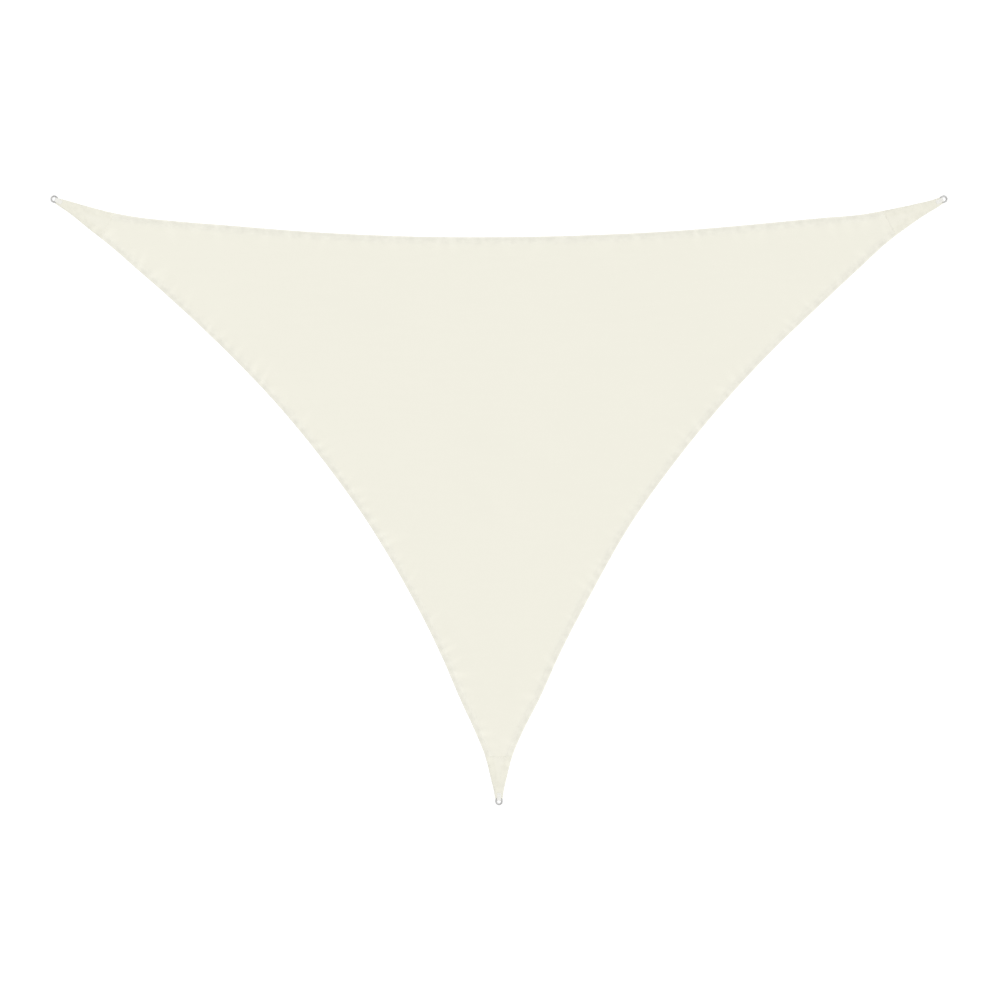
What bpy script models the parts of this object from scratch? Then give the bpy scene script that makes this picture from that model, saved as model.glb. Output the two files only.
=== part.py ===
"""Triangular shade sail of knitted cloth, 6 m across its long edge, laid flat on the ground.

Metres, +Z up. X runs along the long edge, and Y from the foot corner towards the long edge. The origin
is on the ground, under the middle of the box round the whole sail. The three edges are cut hollow and
hemmed. Each corner has a sewn-on patch, a strap of webbing and a steel D-ring.
"""

import math
from collections import namedtuple

import bmesh
import bpy
from mathutils import Vector
from mathutils.geometry import delaunay_2d_cdt, intersect_point_line

MM = 0.001

# Overall size, over the rings.
OVERALL_WIDTH = 6.000
OVERALL_DEPTH = 4.079

# Thicknesses, and the gap left between pieces that are sewn together.
CLOTH_THICKNESS = 1.5 * MM
HEM_THICKNESS = 3.0 * MM
PATCH_THICKNESS = 1.5 * MM
WEBBING_THICKNESS = 1.6 * MM
GAP = 0.3 * MM

# The hem, turned up on the upper face. Its doubled cloth ends in a narrow step.
HEM_WIDTH = 35.0 * MM
HEM_STEP = 3.0 * MM

# The D-ring, to the middle of its wire. The middle of its arc is the corner point of the sail.
WIRE_RADIUS = 5.0 * MM
RING_RADIUS = 19.5 * MM
RING_BAR_SETBACK = 14.0 * MM
RING_BEND_RADIUS = 5.5 * MM
ARC_STEPS = 16
BEND_STEPS = 4
WIRE_SIDES = 16

# Places along a corner's middle line, measured inwards from the corner point.
TIP_REACH = 19.0 * MM
PATCH_REACH = 22.0 * MM
STRAP_FLAT_REACH = 28.0 * MM
STRAP_END_REACH = 58.0 * MM
FLAT_TIP_REACH = 64.0 * MM
HEMS_MEET_REACH = 140.0 * MM
TOUCHDOWN_REACH = 170.0 * MM
PATCH_INSET = 5.0 * MM

# Each corner's cloth: how far its tip spreads to both sides of the middle line, looking inwards from
# the ring, and where the straight end of its patch lies.
Tip = namedtuple("Tip", "left_of_middle right_of_middle patch_end_reach")
TIPS = {
    "left": Tip(left_of_middle=0.0155, right_of_middle=0.0245, patch_end_reach=0.400),
    "right": Tip(left_of_middle=0.024, right_of_middle=0.0225, patch_end_reach=0.400),
    "foot": Tip(left_of_middle=0.0265, right_of_middle=0.0235, patch_end_reach=0.300),
}

# The strap of webbing, folded round the ring's bar. The fold turns on until the strap runs straight
# down to where it lies flat.
STRAP_WIDTH = 28.0 * MM
STRAP_CLEARANCE = 0.5 * MM
STRAP_FOLD_TURN = math.radians(203)
STRAP_FOLD_STEPS = 11

# How far each edge is cut in from the straight line between its two corner points. The edges run
# clockwise, and share is the part of the way along that line.
Hollow = namedtuple("Hollow", "share top right left")
HOLLOWS = (
    Hollow(share=0.012, top=0.006, right=-0.002, left=0.006),
    Hollow(share=0.03, top=0.036, right=0.035, left=0.044),
    Hollow(share=0.06, top=0.084, right=0.087, left=0.106),
    Hollow(share=0.09, top=0.118, right=0.131, left=0.145),
    Hollow(share=0.14, top=0.150, right=0.180, left=0.197),
    Hollow(share=0.20, top=0.179, right=0.236, left=0.268),
    Hollow(share=0.30, top=0.224, right=0.323, left=0.352),
    Hollow(share=0.40, top=0.250, right=0.380, left=0.402),
    Hollow(share=0.50, top=0.254, right=0.403, left=0.410),
    Hollow(share=0.60, top=0.242, right=0.394, left=0.386),
    Hollow(share=0.70, top=0.212, right=0.334, left=0.322),
    Hollow(share=0.80, top=0.162, right=0.254, left=0.232),
    Hollow(share=0.86, top=0.128, right=0.189, left=0.166),
    Hollow(share=0.91, top=0.101, right=0.147, left=0.110),
    Hollow(share=0.94, top=0.068, right=0.110, left=0.068),
    Hollow(share=0.97, top=0.030, right=0.050, left=0.029),
    Hollow(share=0.988, top=0.004, right=0.010, left=-0.001),
)

# Soft folds that stand up from the ground, from one end to the other. The first rows cross the middle,
# and the others are the pulls that run in from the corners.
Fold = namedtuple("Fold", "from_x from_y to_x to_y width height")
FOLDS = (
    Fold(from_x=-0.30, from_y=0.56, to_x=0.82, to_y=0.03, width=0.26, height=0.007),
    Fold(from_x=-1.28, from_y=1.40, to_x=-0.38, to_y=1.18, width=0.30, height=0.0055),
    Fold(from_x=-0.27, from_y=0.27, to_x=0.12, to_y=-0.26, width=0.20, height=0.0045),
    Fold(from_x=-2.20, from_y=1.54, to_x=-1.24, to_y=0.50, width=0.16, height=0.005),
    Fold(from_x=2.02, from_y=1.36, to_x=1.26, to_y=0.62, width=0.20, height=0.004),
    Fold(from_x=0.62, from_y=1.46, to_x=1.36, to_y=1.30, width=0.24, height=0.004),
    Fold(from_x=-0.42, from_y=-0.62, to_x=-0.14, to_y=-1.12, width=0.18, height=0.0045),
    Fold(from_x=-2.55, from_y=1.84, to_x=-1.78, to_y=1.53, width=0.09, height=0.0035),
    Fold(from_x=2.56, from_y=1.84, to_x=1.74, to_y=1.55, width=0.09, height=0.0035),
    Fold(from_x=2.53, from_y=1.76, to_x=2.12, to_y=1.49, width=0.08, height=0.003),
    Fold(from_x=-0.03, from_y=-1.64, to_x=-0.12, to_y=-1.18, width=0.08, height=0.003),
    Fold(from_x=0.04, from_y=-1.62, to_x=0.19, to_y=-0.92, width=0.09, height=0.0035),
)

# Waves along the rim, where the hem lifts off the ground and the cloth behind it follows.
Wave = namedtuple("Wave", "edge share length height")
WAVES = (
    Wave(edge="top", share=0.19, length=0.48, height=0.003),
    Wave(edge="top", share=0.36, length=0.60, height=0.0024),
    Wave(edge="top", share=0.61, length=0.52, height=0.003),
    Wave(edge="top", share=0.82, length=0.44, height=0.0036),
    Wave(edge="right", share=0.225, length=0.42, height=0.0042),
    Wave(edge="right", share=0.43, length=0.50, height=0.0036),
    Wave(edge="right", share=0.62, length=0.40, height=0.0024),
    Wave(edge="right", share=0.83, length=0.42, height=0.0036),
    Wave(edge="left", share=0.20, length=0.40, height=0.003),
    Wave(edge="left", share=0.38, length=0.46, height=0.0036),
    Wave(edge="left", share=0.58, length=0.54, height=0.003),
    Wave(edge="left", share=0.79, length=0.40, height=0.0036),
)
WAVE_DEPTH = 0.22

# How finely the cloth is divided. Points crowd together towards the corners.
EDGE_STEPS = {"top": 66, "right": 56, "left": 56}
CROWDING = 0.6
WIDE_SPACING = 0.128
CLOSE_SPACING = 0.060
CLOSE_REACH = 0.85
FOLD_SPACING = 0.110
FOLD_ROWS = (-1.0, -0.5, 0.0, 0.5, 1.0)
FEWEST_FOLD_STEPS = 4
CLEAR_OF_FOLD = 0.030
CLEAR_OF_HEM = 0.015
CLEAR_SHARE_OF_SPACING = 0.4
MERGE = 1e-5

# Colours, linear: unbleached cloth, off-white webbing and bright steel.
CLOTH_COLOUR = (0.880, 0.863, 0.761)
PATCH_COLOUR = (0.862, 0.845, 0.745)
STRAP_COLOUR = (0.860, 0.850, 0.800)
STEEL_COLOUR = (0.62, 0.62, 0.63)

COLLECTION_NAME = "shade_sail"


# --- the three corners and the three edges -----------------------------------------------------------


class Corner:
    """A corner point, with the middle line that runs inwards from it and halves the corner."""

    def __init__(self, name, point, before, after):
        self.name = name
        self.tip = TIPS[name]
        self.point = point
        self.inward = ((before - point).normalized() + (after - point).normalized()).normalized()
        self.left = Vector((-self.inward.y, self.inward.x))

    def reach(self, point):
        """How far in a point is, measured along the corner's middle line."""
        return (point - self.point).dot(self.inward)

    def place(self, reach, left):
        """The point that far in, and that far to the left of the middle line."""
        return self.point + self.inward * reach + self.left * left

    def angle(self):
        """Turn about +Z from the X axis to the middle line."""
        return math.atan2(self.inward.y, self.inward.x)


class Edge:
    """One edge, clockwise from a corner to the next. Its stations are (way along, hollow) pairs."""

    def __init__(self, name, start, end):
        self.name = name
        self.start = start
        self.end = end
        line = end.point - start.point
        self.length = line.length
        self.along = line.normalized()
        self.inward = Vector((self.along.y, -self.along.x))
        rows = [(row.share * self.length, getattr(row, name)) for row in HOLLOWS]
        first = self.measure(start.place(TIP_REACH, start.tip.left_of_middle))
        last = self.measure(end.place(TIP_REACH, -end.tip.right_of_middle))
        self.stations = [first] + rows + [last]

    def measure(self, point):
        """A point's way along the straight line between the corners, and its distance inwards from it."""
        from_start = point - self.start.point
        return from_start.dot(self.along), from_start.dot(self.inward)

    def slope(self, i):
        """Slope of the edge at a station, from the stations on both sides of it."""
        here = self.stations[i]
        before = self.stations[max(i - 1, 0)]
        after = self.stations[min(i + 1, len(self.stations) - 1)]
        if before == here:
            return (after[1] - here[1]) / (after[0] - here[0])
        if after == here:
            return (here[1] - before[1]) / (here[0] - before[0])
        run_in, run_out = here[0] - before[0], after[0] - here[0]
        slope_in = (here[1] - before[1]) / run_in
        slope_out = (after[1] - here[1]) / run_out
        return (slope_in * run_out + slope_out * run_in) / (run_in + run_out)

    def hollow(self, way):
        """How far in the edge is at that way along, on a smooth curve through the stations."""
        last_span = len(self.stations) - 2
        i = 0
        while i < last_span and way > self.stations[i + 1][0]:
            i += 1
        (x0, y0), (x1, y1) = self.stations[i], self.stations[i + 1]
        run = x1 - x0
        t = (way - x0) / run
        if t < 0 or t > 1:
            nearest = 0 if t < 0 else 1
            x_end, y_end = (x1, y1) if nearest else (x0, y0)
            return y_end + self.slope(i + nearest) * (way - x_end)
        tangents = self.slope(i) * run * t * (1 - t) ** 2 - self.slope(i + 1) * run * t * t * (1 - t)
        return y0 + (y1 - y0) * t * t * (3 - 2 * t) + tangents

    def depth(self, point):
        """How far inside this edge a point is."""
        way, inward = self.measure(point)
        return inward - self.hollow(way)

    def ways(self):
        """Ways along at which the edge is divided."""
        steps = EDGE_STEPS[self.name]
        first, last = self.stations[0][0], self.stations[-1][0]
        for k in range(steps + 1):
            u = k / steps
            share = u - CROWDING * math.sin(2 * math.pi * u) / (2 * math.pi)
            yield first + (last - first) * share

    def line(self, inset):
        """The edge's points, moved inwards square to the edge by the inset."""
        points = []
        probe = 1.0 * MM
        for way in self.ways():
            rise = (self.hollow(way + probe) - self.hollow(way - probe)) / (2 * probe)
            on_edge = self.start.point + self.along * way + self.inward * self.hollow(way)
            points.append(on_edge + (self.inward - self.along * rise).normalized() * inset)
        return points


def make_corners():
    outside = RING_RADIUS + WIRE_RADIUS
    half_width = OVERALL_WIDTH / 2 - outside
    half_depth = OVERALL_DEPTH / 2 - outside
    left = Vector((-half_width, half_depth))
    right = Vector((half_width, half_depth))
    foot = Vector((0.0, -half_depth))
    return (
        Corner("left", left, before=foot, after=right),
        Corner("right", right, before=left, after=foot),
        Corner("foot", foot, before=right, after=left),
    )


CORNERS = make_corners()
EDGES = tuple(
    Edge(name, CORNERS[i], CORNERS[(i + 1) % 3]) for i, name in enumerate(("top", "right", "left"))
)


# --- the cutting plan: the sail from above, divided into triangles ------------------------------------


def stretch(edge, inset, keep):
    """The part of an inset edge line where keep(point) isn't negative, cut off exactly at its ends."""
    line = edge.line(inset)
    kept = []
    for here, after in zip(line, line[1:] + line[-1:]):
        value, next_value = keep(here), keep(after)
        if value >= -MERGE:
            kept.append(here)
        if value * next_value < 0 and min(abs(value), abs(next_value)) > MERGE:
            kept.append(here.lerp(after, value / (value - next_value)))
    return kept


def round_loop(inset, reach):
    """A closed line all round the sail, inset from the edges and cut across each corner at that reach."""
    loop = []
    for edge in EDGES:
        loop += stretch(edge, inset, lambda p: min(edge.start.reach(p), edge.end.reach(p)) - reach)
    return loop


def patch_loop(i):
    """The outline of the patch on corner i."""
    corner = CORNERS[i]

    def keep(point):
        reach = corner.reach(point)
        return min(reach - PATCH_REACH, corner.tip.patch_end_reach - reach)

    return stretch(EDGES[i - 1], PATCH_INSET, keep) + stretch(EDGES[i], PATCH_INSET, keep)


def cross_line(corner, reach):
    """A line straight across a corner, from edge to edge."""
    ends = []
    for edge in EDGES:
        if corner in (edge.start, edge.end):
            line = stretch(edge, 0.0, lambda p: corner.reach(p) - reach)
            ends.append(line[0] if corner is edge.start else line[-1])
    return ends


def inside_by(point):
    """How far inside the sail's edges a point is."""
    return min(edge.depth(point) for edge in EDGES)


def fold_places(fold, point):
    """A point's share of the way along a fold, and its distance from the crest in half widths."""
    start = Vector((fold.from_x, fold.from_y))
    line = Vector((fold.to_x, fold.to_y)) - start
    from_start = point - start
    along = from_start.dot(line) / line.length_squared
    across = from_start.cross(line) / line.length / (fold.width / 2)
    return along, across


def near_fold(point):
    for fold in FOLDS:
        length = math.hypot(fold.to_x - fold.from_x, fold.to_y - fold.from_y)
        along, across = fold_places(fold, point)
        beyond = CLEAR_OF_FOLD / length
        beside = CLEAR_OF_FOLD / (fold.width / 2)
        if -beyond < along < 1 + beyond and abs(across) < 1 + beside:
            return True
    return False


def fold_points():
    """Rows of points along each fold's crest, sides and feet."""
    points = []
    for fold in FOLDS:
        start = Vector((fold.from_x, fold.from_y))
        line = Vector((fold.to_x, fold.to_y)) - start
        side = Vector((-line.y, line.x)).normalized() * (fold.width / 2)
        steps = max(FEWEST_FOLD_STEPS, round(line.length / FOLD_SPACING))
        for k in range(steps + 1):
            for row in FOLD_ROWS:
                point = start + line * (k / steps) + side * row
                if inside_by(point) > HEM_WIDTH + HEM_STEP + CLEAR_OF_HEM:
                    points.append(point)
    return points


def lattice(spacing, wanted):
    """Points of an even triangular lattice, inside the hem and clear of the folds, where wanted(point)."""
    points = []
    row_spacing = spacing * math.sqrt(3) / 2
    rows = round(OVERALL_DEPTH / row_spacing)
    columns = round(OVERALL_WIDTH / spacing)
    for j in range(rows + 1):
        for i in range(columns + 1):
            x = (i + 0.5 * (j % 2)) * spacing - OVERALL_WIDTH / 2
            point = Vector((x, j * row_spacing - OVERALL_DEPTH / 2))
            clear = HEM_WIDTH + HEM_STEP + CLEAR_SHARE_OF_SPACING * spacing
            if wanted(point) and not near_fold(point) and inside_by(point) > clear:
                points.append(point)
    return points


def nearest_reach(point):
    return min((point - corner.point).length for corner in CORNERS)


def cutting_plan():
    """Points, triangles, and for each triangle the loops that it is in: 0 the cloth, then each patch."""
    points, joined, faces = [], [], []

    def add(line, closed):
        first = len(points)
        points.extend(line)
        numbers = list(range(first, len(points)))
        joined.extend(zip(numbers, numbers[1:] + numbers[:1] if closed else numbers[1:]))
        return numbers

    loops = [round_loop(0.0, TIP_REACH)] + [patch_loop(i) for i in range(3)]
    for loop in loops:
        faces.append(list(reversed(add(loop, closed=True))))
    add(round_loop(HEM_WIDTH, HEMS_MEET_REACH), closed=True)
    add(round_loop(HEM_WIDTH + HEM_STEP, HEMS_MEET_REACH + HEM_STEP), closed=True)
    for corner in CORNERS:
        add(cross_line(corner, FLAT_TIP_REACH), closed=False)
    points.extend(fold_points())
    points.extend(lattice(WIDE_SPACING, lambda p: nearest_reach(p) > CLOSE_REACH))
    points.extend(lattice(CLOSE_SPACING, lambda p: nearest_reach(p) <= CLOSE_REACH))
    inside_only = 1
    found = delaunay_2d_cdt(points, joined, faces, inside_only, MERGE)
    return found[0], found[2], found[5]


# --- the heights: where the cloth lies, and how thick it is -------------------------------------------


def ease(share):
    """0 at and below 0, 1 at and above 1, and smooth between."""
    share = min(max(share, 0.0), 1.0)
    return share * share * (3 - 2 * share)


def fold_lift(point):
    lift = 0.0
    for fold in FOLDS:
        along, across = fold_places(fold, point)
        if 0 < along < 1 and abs(across) < 1:
            lift += fold.height * math.sin(math.pi * along) * math.cos(math.pi / 2 * across) ** 2
    return lift


def wave_lift(point):
    lift = 0.0
    for edge in EDGES:
        way, _ = edge.measure(point)
        depth = edge.depth(point)
        for wave in WAVES:
            off_middle = (way - wave.share * edge.length) / wave.length
            if wave.edge == edge.name and abs(off_middle) < 0.5 and depth < WAVE_DEPTH:
                fade = (1 - max(depth, 0.0) / WAVE_DEPTH) ** 2
                lift += wave.height * math.cos(math.pi * off_middle) ** 2 * fade
    return lift


def tip_lift(point):
    """At a tip the strap's lower leg lies between the ground and the cloth."""
    reach = min(corner.reach(point) for corner in CORNERS)
    settle = (reach - FLAT_TIP_REACH) / (TOUCHDOWN_REACH - FLAT_TIP_REACH)
    return (WEBBING_THICKNESS + GAP) * (1 - ease(settle))


def underside(point):
    """Height of the cloth's lower face. It is exactly 0 wherever the cloth lies on the ground."""
    return tip_lift(point) + fold_lift(point) + wave_lift(point)


OUTLINE = round_loop(0.0, TIP_REACH)


def edge_distance(point):
    """Shortest distance from a point to the cut edge of the cloth."""
    nearest = OVERALL_WIDTH
    for a, b in zip(OUTLINE, OUTLINE[1:] + OUTLINE[:1]):
        foot, share = intersect_point_line(point, a, b)
        foot = a if share < 0 else b if share > 1 else foot
        nearest = min(nearest, (point - foot.to_2d()).length)
    return nearest


def cloth_thickness(point):
    """Two layers in the hem and out at the tips, where the hems meet, and one layer elsewhere."""
    past_tip = min(corner.reach(point) for corner in CORNERS) - HEMS_MEET_REACH
    past_hem = min(edge_distance(point) - HEM_WIDTH, past_tip)
    thinning = min(max(past_hem / HEM_STEP, 0.0), 1.0)
    return HEM_THICKNESS + (CLOTH_THICKNESS - HEM_THICKNESS) * thinning


# --- making the pieces --------------------------------------------------------------------------------


def clear_scene():
    for obj in list(bpy.data.objects):
        bpy.data.objects.remove(obj)


def make_material(name, colour, roughness, metallic=0.0):
    material = bpy.data.materials.new(name)
    material.use_nodes = True
    shader = material.node_tree.nodes["Principled BSDF"]
    shader.inputs["Base Color"].default_value = (*colour, 1.0)
    shader.inputs["Roughness"].default_value = roughness
    shader.inputs["Metallic"].default_value = metallic
    return material


def add_object(collection, name, data, material):
    data.materials.append(material)
    obj = bpy.data.objects.new(name, data)
    collection.objects.link(obj)
    return obj


def layer_mesh(name, points, triangles, lower, thickness):
    """A closed layer of cloth: triangles at their lower heights, extruded up by each point's thickness."""
    bm = bmesh.new()
    own_thickness = bm.verts.layers.float.new("thickness")
    made = {}
    for n in sorted({n for triangle in triangles for n in triangle}):
        made[n] = bm.verts.new((points[n].x, points[n].y, lower[n]))
        made[n][own_thickness] = thickness[n]
    for triangle in triangles:
        bm.faces.new([made[n] for n in triangle])
    extruded = bmesh.ops.extrude_face_region(bm, geom=bm.faces[:], use_keep_orig=True)
    for v in extruded["geom"]:
        if isinstance(v, bmesh.types.BMVert):
            v.co.z += v[own_thickness]
    bmesh.ops.recalc_face_normals(bm, faces=bm.faces[:])
    bm.verts.layers.float.remove(own_thickness)
    mesh = bpy.data.meshes.new(name)
    bm.to_mesh(mesh)
    bm.free()
    return mesh


def make_cloth_and_patches(collection):
    points, triangles, owners = cutting_plan()
    lower = [underside(p) for p in points]
    thick = [cloth_thickness(p) for p in points]
    cloth = make_material("knitted_cloth", CLOTH_COLOUR, roughness=0.85)
    mesh = layer_mesh("sail_cloth", points, triangles, lower, thick)
    add_object(collection, "sail_cloth", mesh, cloth)

    doubled = make_material("patch_cloth", PATCH_COLOUR, roughness=0.85)
    on_cloth = [z + t + GAP for z, t in zip(lower, thick)]
    patch_thick = [PATCH_THICKNESS] * len(points)
    for number, corner in enumerate(CORNERS, start=1):
        name = "patch_" + corner.name
        own = [t for t, owner in zip(triangles, owners) if number in owner]
        mesh = layer_mesh(name, points, own, on_cloth, patch_thick)
        add_object(collection, name, mesh, doubled)


def strap_mesh():
    """The strap's middle line, swept across its width: lower leg, fold round the bar, upper leg."""
    fold_radius = WIRE_RADIUS + STRAP_CLEARANCE + WEBBING_THICKNESS / 2
    low = WEBBING_THICKNESS / 2
    bar_height = low + fold_radius
    tip_stack = HEM_THICKNESS + PATCH_THICKNESS + 3 * GAP
    high = low + WEBBING_THICKNESS + tip_stack
    line = [(STRAP_END_REACH, low), (STRAP_FLAT_REACH, low)]
    for k in range(STRAP_FOLD_STEPS + 1):
        turn = STRAP_FOLD_TURN * k / STRAP_FOLD_STEPS
        reach = RING_BAR_SETBACK - fold_radius * math.sin(turn)
        line.append((reach, bar_height - fold_radius * math.cos(turn)))
    line += [(STRAP_FLAT_REACH, high), (STRAP_END_REACH, high)]

    bm = bmesh.new()
    start = [bm.verts.new((reach, -STRAP_WIDTH / 2, height)) for reach, height in line]
    ribbon = [bm.edges.new(pair) for pair in zip(start, start[1:])]
    swept = bmesh.ops.extrude_edge_only(bm, edges=ribbon)["geom"]
    far_side = [v for v in swept if isinstance(v, bmesh.types.BMVert)]
    bmesh.ops.translate(bm, verts=far_side, vec=(0.0, STRAP_WIDTH, 0.0))
    mesh = bpy.data.meshes.new("strap")
    bm.to_mesh(mesh)
    bm.free()
    return mesh


def ring_curve():
    """The D-ring flat in its own plane: a half circle outwards, two bends, and the bar between them."""
    line = []
    for k in range(ARC_STEPS + 1):
        turn = math.pi / 2 + math.pi * k / ARC_STEPS
        line.append((RING_RADIUS * math.cos(turn), RING_RADIUS * math.sin(turn)))
    bend_x = RING_BAR_SETBACK - RING_BEND_RADIUS
    bend_y = RING_RADIUS - RING_BEND_RADIUS
    for side, first_turn in ((-1, -math.pi / 2), (1, 0.0)):
        for k in range(BEND_STEPS + 1):
            turn = first_turn + math.pi / 2 * k / BEND_STEPS
            x = bend_x + RING_BEND_RADIUS * math.cos(turn)
            line.append((x, side * bend_y + RING_BEND_RADIUS * math.sin(turn)))
    curve = bpy.data.curves.new("d_ring", "CURVE")
    curve.dimensions = "3D"
    curve.bevel_depth = WIRE_RADIUS
    curve.bevel_resolution = WIRE_SIDES // 4 - 1
    spline = curve.splines.new("POLY")
    spline.points.add(len(line) - 1)
    for spot, (x, y) in zip(spline.points, line):
        spot.co = (x, y, 0.0, 1.0)
    spline.use_cyclic_u = True
    return curve


def make_fittings(collection):
    """Each corner's strap and ring. The ring leans: its bar is up in the strap, its arc on the ground."""
    strap_material = make_material("webbing", STRAP_COLOUR, roughness=0.8)
    steel = make_material("bright_steel", STEEL_COLOUR, roughness=0.25, metallic=1.0)
    bar_height = WEBBING_THICKNESS + STRAP_CLEARANCE + WIRE_RADIUS
    lean = math.asin((bar_height - WIRE_RADIUS) / (RING_BAR_SETBACK + RING_RADIUS))
    ring_height = WIRE_RADIUS + RING_RADIUS * math.sin(lean)
    strap, ring = strap_mesh(), ring_curve()
    for corner in CORNERS:
        anchor = bpy.data.objects.new("corner_" + corner.name, None)
        anchor.location = (corner.point.x, corner.point.y, 0.0)
        anchor.rotation_euler.z = corner.angle()
        collection.objects.link(anchor)

        webbing = add_object(collection, "webbing_" + corner.name, strap.copy(), strap_material)
        webbing.parent = anchor
        solidify = webbing.modifiers.new("thickness", "SOLIDIFY")
        solidify.thickness = WEBBING_THICKNESS
        solidify.offset = 0.0
        solidify.use_even_offset = True

        loop = add_object(collection, "ring_" + corner.name, ring.copy(), steel)
        loop.parent = anchor
        loop.location.z = ring_height
        loop.rotation_euler.y = -lean


def build():
    clear_scene()
    collection = bpy.data.collections.new(COLLECTION_NAME)
    bpy.context.scene.collection.children.link(collection)
    make_cloth_and_patches(collection)
    make_fittings(collection)


build()
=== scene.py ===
import math
import random
from collections import namedtuple

import bmesh
import bpy
from mathutils import Matrix, Vector, kdtree, noise
from mathutils.bvhtree import BVHTree
from mathutils.geometry import delaunay_2d_cdt


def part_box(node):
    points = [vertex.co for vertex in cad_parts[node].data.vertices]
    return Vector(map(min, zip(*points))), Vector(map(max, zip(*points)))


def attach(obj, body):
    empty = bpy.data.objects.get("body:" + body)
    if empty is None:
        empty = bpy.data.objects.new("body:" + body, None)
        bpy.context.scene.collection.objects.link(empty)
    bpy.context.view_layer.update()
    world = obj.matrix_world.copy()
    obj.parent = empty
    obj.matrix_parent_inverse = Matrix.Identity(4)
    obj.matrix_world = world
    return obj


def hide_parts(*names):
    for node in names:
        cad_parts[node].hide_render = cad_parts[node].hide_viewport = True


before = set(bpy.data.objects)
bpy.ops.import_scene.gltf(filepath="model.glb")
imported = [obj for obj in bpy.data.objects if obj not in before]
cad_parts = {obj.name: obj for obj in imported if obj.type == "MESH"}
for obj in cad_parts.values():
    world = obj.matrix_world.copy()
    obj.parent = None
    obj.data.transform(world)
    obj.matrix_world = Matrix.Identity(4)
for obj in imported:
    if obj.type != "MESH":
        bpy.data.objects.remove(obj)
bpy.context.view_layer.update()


# --- The sail cloth -----------------------------------------------------------------------------------
# One cream cloth of knitted polyethylene yarn, cut to a triangle with three hollow edges. The edges are
# turned up on the face and sewn down as a hem, which puckers along its seam. The sail is laid face up
# on the ground, and lies flat there except in its soft folds, its rim's waves and its raised tips.

MM = 0.001

CLOTH_THICKNESS = 1.5 * MM
HEM_THICKNESS = 3.0 * MM
HEM_FULLNESS = 0.6 * MM
HEM_WIDTH = 35 * MM
HEM_STEP = 7 * MM
HEM_TONE_REACH = (38 * MM, 62 * MM)
ROLLED_EDGE = 8 * MM
EDGE_SHARE = 0.30
EDGE_LIFT = 0.3 * MM
# A band of painted shade lies inside the rolled edge: it begins, is darkest and ends at these depths.
EDGE_SHADE_START, EDGE_SHADE_PEAK, EDGE_SHADE_END = 5 * MM, 12.5 * MM, 29 * MM
COVER_STEP = 32 * MM

# Reaches are measured inwards from a corner's ring, along the line that halves the corner.
RING_REACH = 24.5 * MM
HEMS_MEET_REACH = 140 * MM
FLAT_TIP_REACH = 64 * MM
LOOSE_REACH = 280 * MM

# Where the mesh has its points: rows inside the rim and inside each patch's, then lattices.
RIM_SPACING = 12 * MM
PATCH_SPACING = 8 * MM
HEM_ROWS = [depth * MM for depth in (2.5, 5, 8.5, 13, 18, 24.5, 31, 35, 38.5, 42, 52, 66)]
PATCH_ROWS = [depth * MM for depth in (2.3, 6, 12)]
WIDE_LATTICE, WIDE_CLEAR = 26 * MM, 82 * MM
CLOSE_LATTICE, CLOSE_CLEAR, CLOSE_REACH = 12 * MM, 47 * MM, 430 * MM
CLOSEST = 2.2 * MM
SHARP_TURN = math.radians(25)
# Points as near as this are one. A face whose normal rises or falls by more than LEVEL lies level.
JOINED = 0.01 * MM
LEVEL = 0.5
# A row's points keep this share of its depth from every side of the rim.
ROW_ROOM = 0.975

# The cloth settles smoothly over the ground's own bumps and its folds.
SETTLING_RADIUS = 42 * MM
SETTLING_STEPS = 6

# Puckers that the hem's seam draws into the cloth, closer on the two side edges than on the top one. Each
# is lower at the rim than past the seam and fades away inwards. Painted light lies on each crest, and
# painted shade in a shallow hollow on both sides.
PUCKER_PITCH = {"side": (56 * MM, 104 * MM), "top": (84 * MM, 156 * MM)}
PUCKER_HEIGHT = {"side": (1.4 * MM, 4.0 * MM), "top": (1.0 * MM, 3.0 * MM)}
TALLEST_PUCKER = 4.0 * MM
PUCKER_WIDTH = (38 * MM, 70 * MM)
PUCKER_BREADTH = {"side": 1.0, "top": 1.5}
PUCKER_LENGTH = (70 * MM, 190 * MM)
PUCKER_SLANT = 0.45
PUCKER_CELL = 50 * MM
SEAM_DEPTH = 31 * MM
PUCKER_AT_RIM = 0.6
PUCKER_FADE = 1.5
PUCKER_HOLLOW_SHADE = 0.5
PUCKER_DRAW = 41
TOP_EDGE_AIM = -0.9

# Faint swells, where the cloth has not quite settled.
SWELL_HEIGHT = 1.5 * MM
SWELL_SIZE = 0.42
SWELL_DRAW = 0.3

# The knit, and the colours of the single and the doubled cloth. Each metre to the left is this much paler:
# painted light that falls off to the right.
WALE_PITCH = 3.2 * MM
COURSE_PITCH = 2.4 * MM
CREAM = (0.790, 0.775, 0.682)
HEM_CREAM = (0.775, 0.761, 0.674)
PAINTED_LIGHT_LEFTWARDS = 0.0016


def welded_copy(node):
    """A CAD node's mesh to work on, with its points joined."""
    bm = bmesh.new()
    bm.from_mesh(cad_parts[node].data)
    bmesh.ops.remove_doubles(bm, verts=bm.verts[:], dist=JOINED)
    return bm


def cut_line(node):
    """The cut edge of a cloth node from above, as points in clockwise order."""
    bm = welded_copy(node)
    following = {}
    for face in bm.faces:
        if face.normal.z < -LEVEL:
            for loop in face.loops:
                beside = loop.link_loop_radial_next.face
                if abs(beside.normal.z) < LEVEL:
                    following[loop.vert] = loop.link_loop_next.vert
    start = next(iter(following))
    line, here = [start.co.xy], following[start]
    while here is not start:
        line.append(here.co.xy)
        here = following[here]
    bm.free()
    return line


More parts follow.
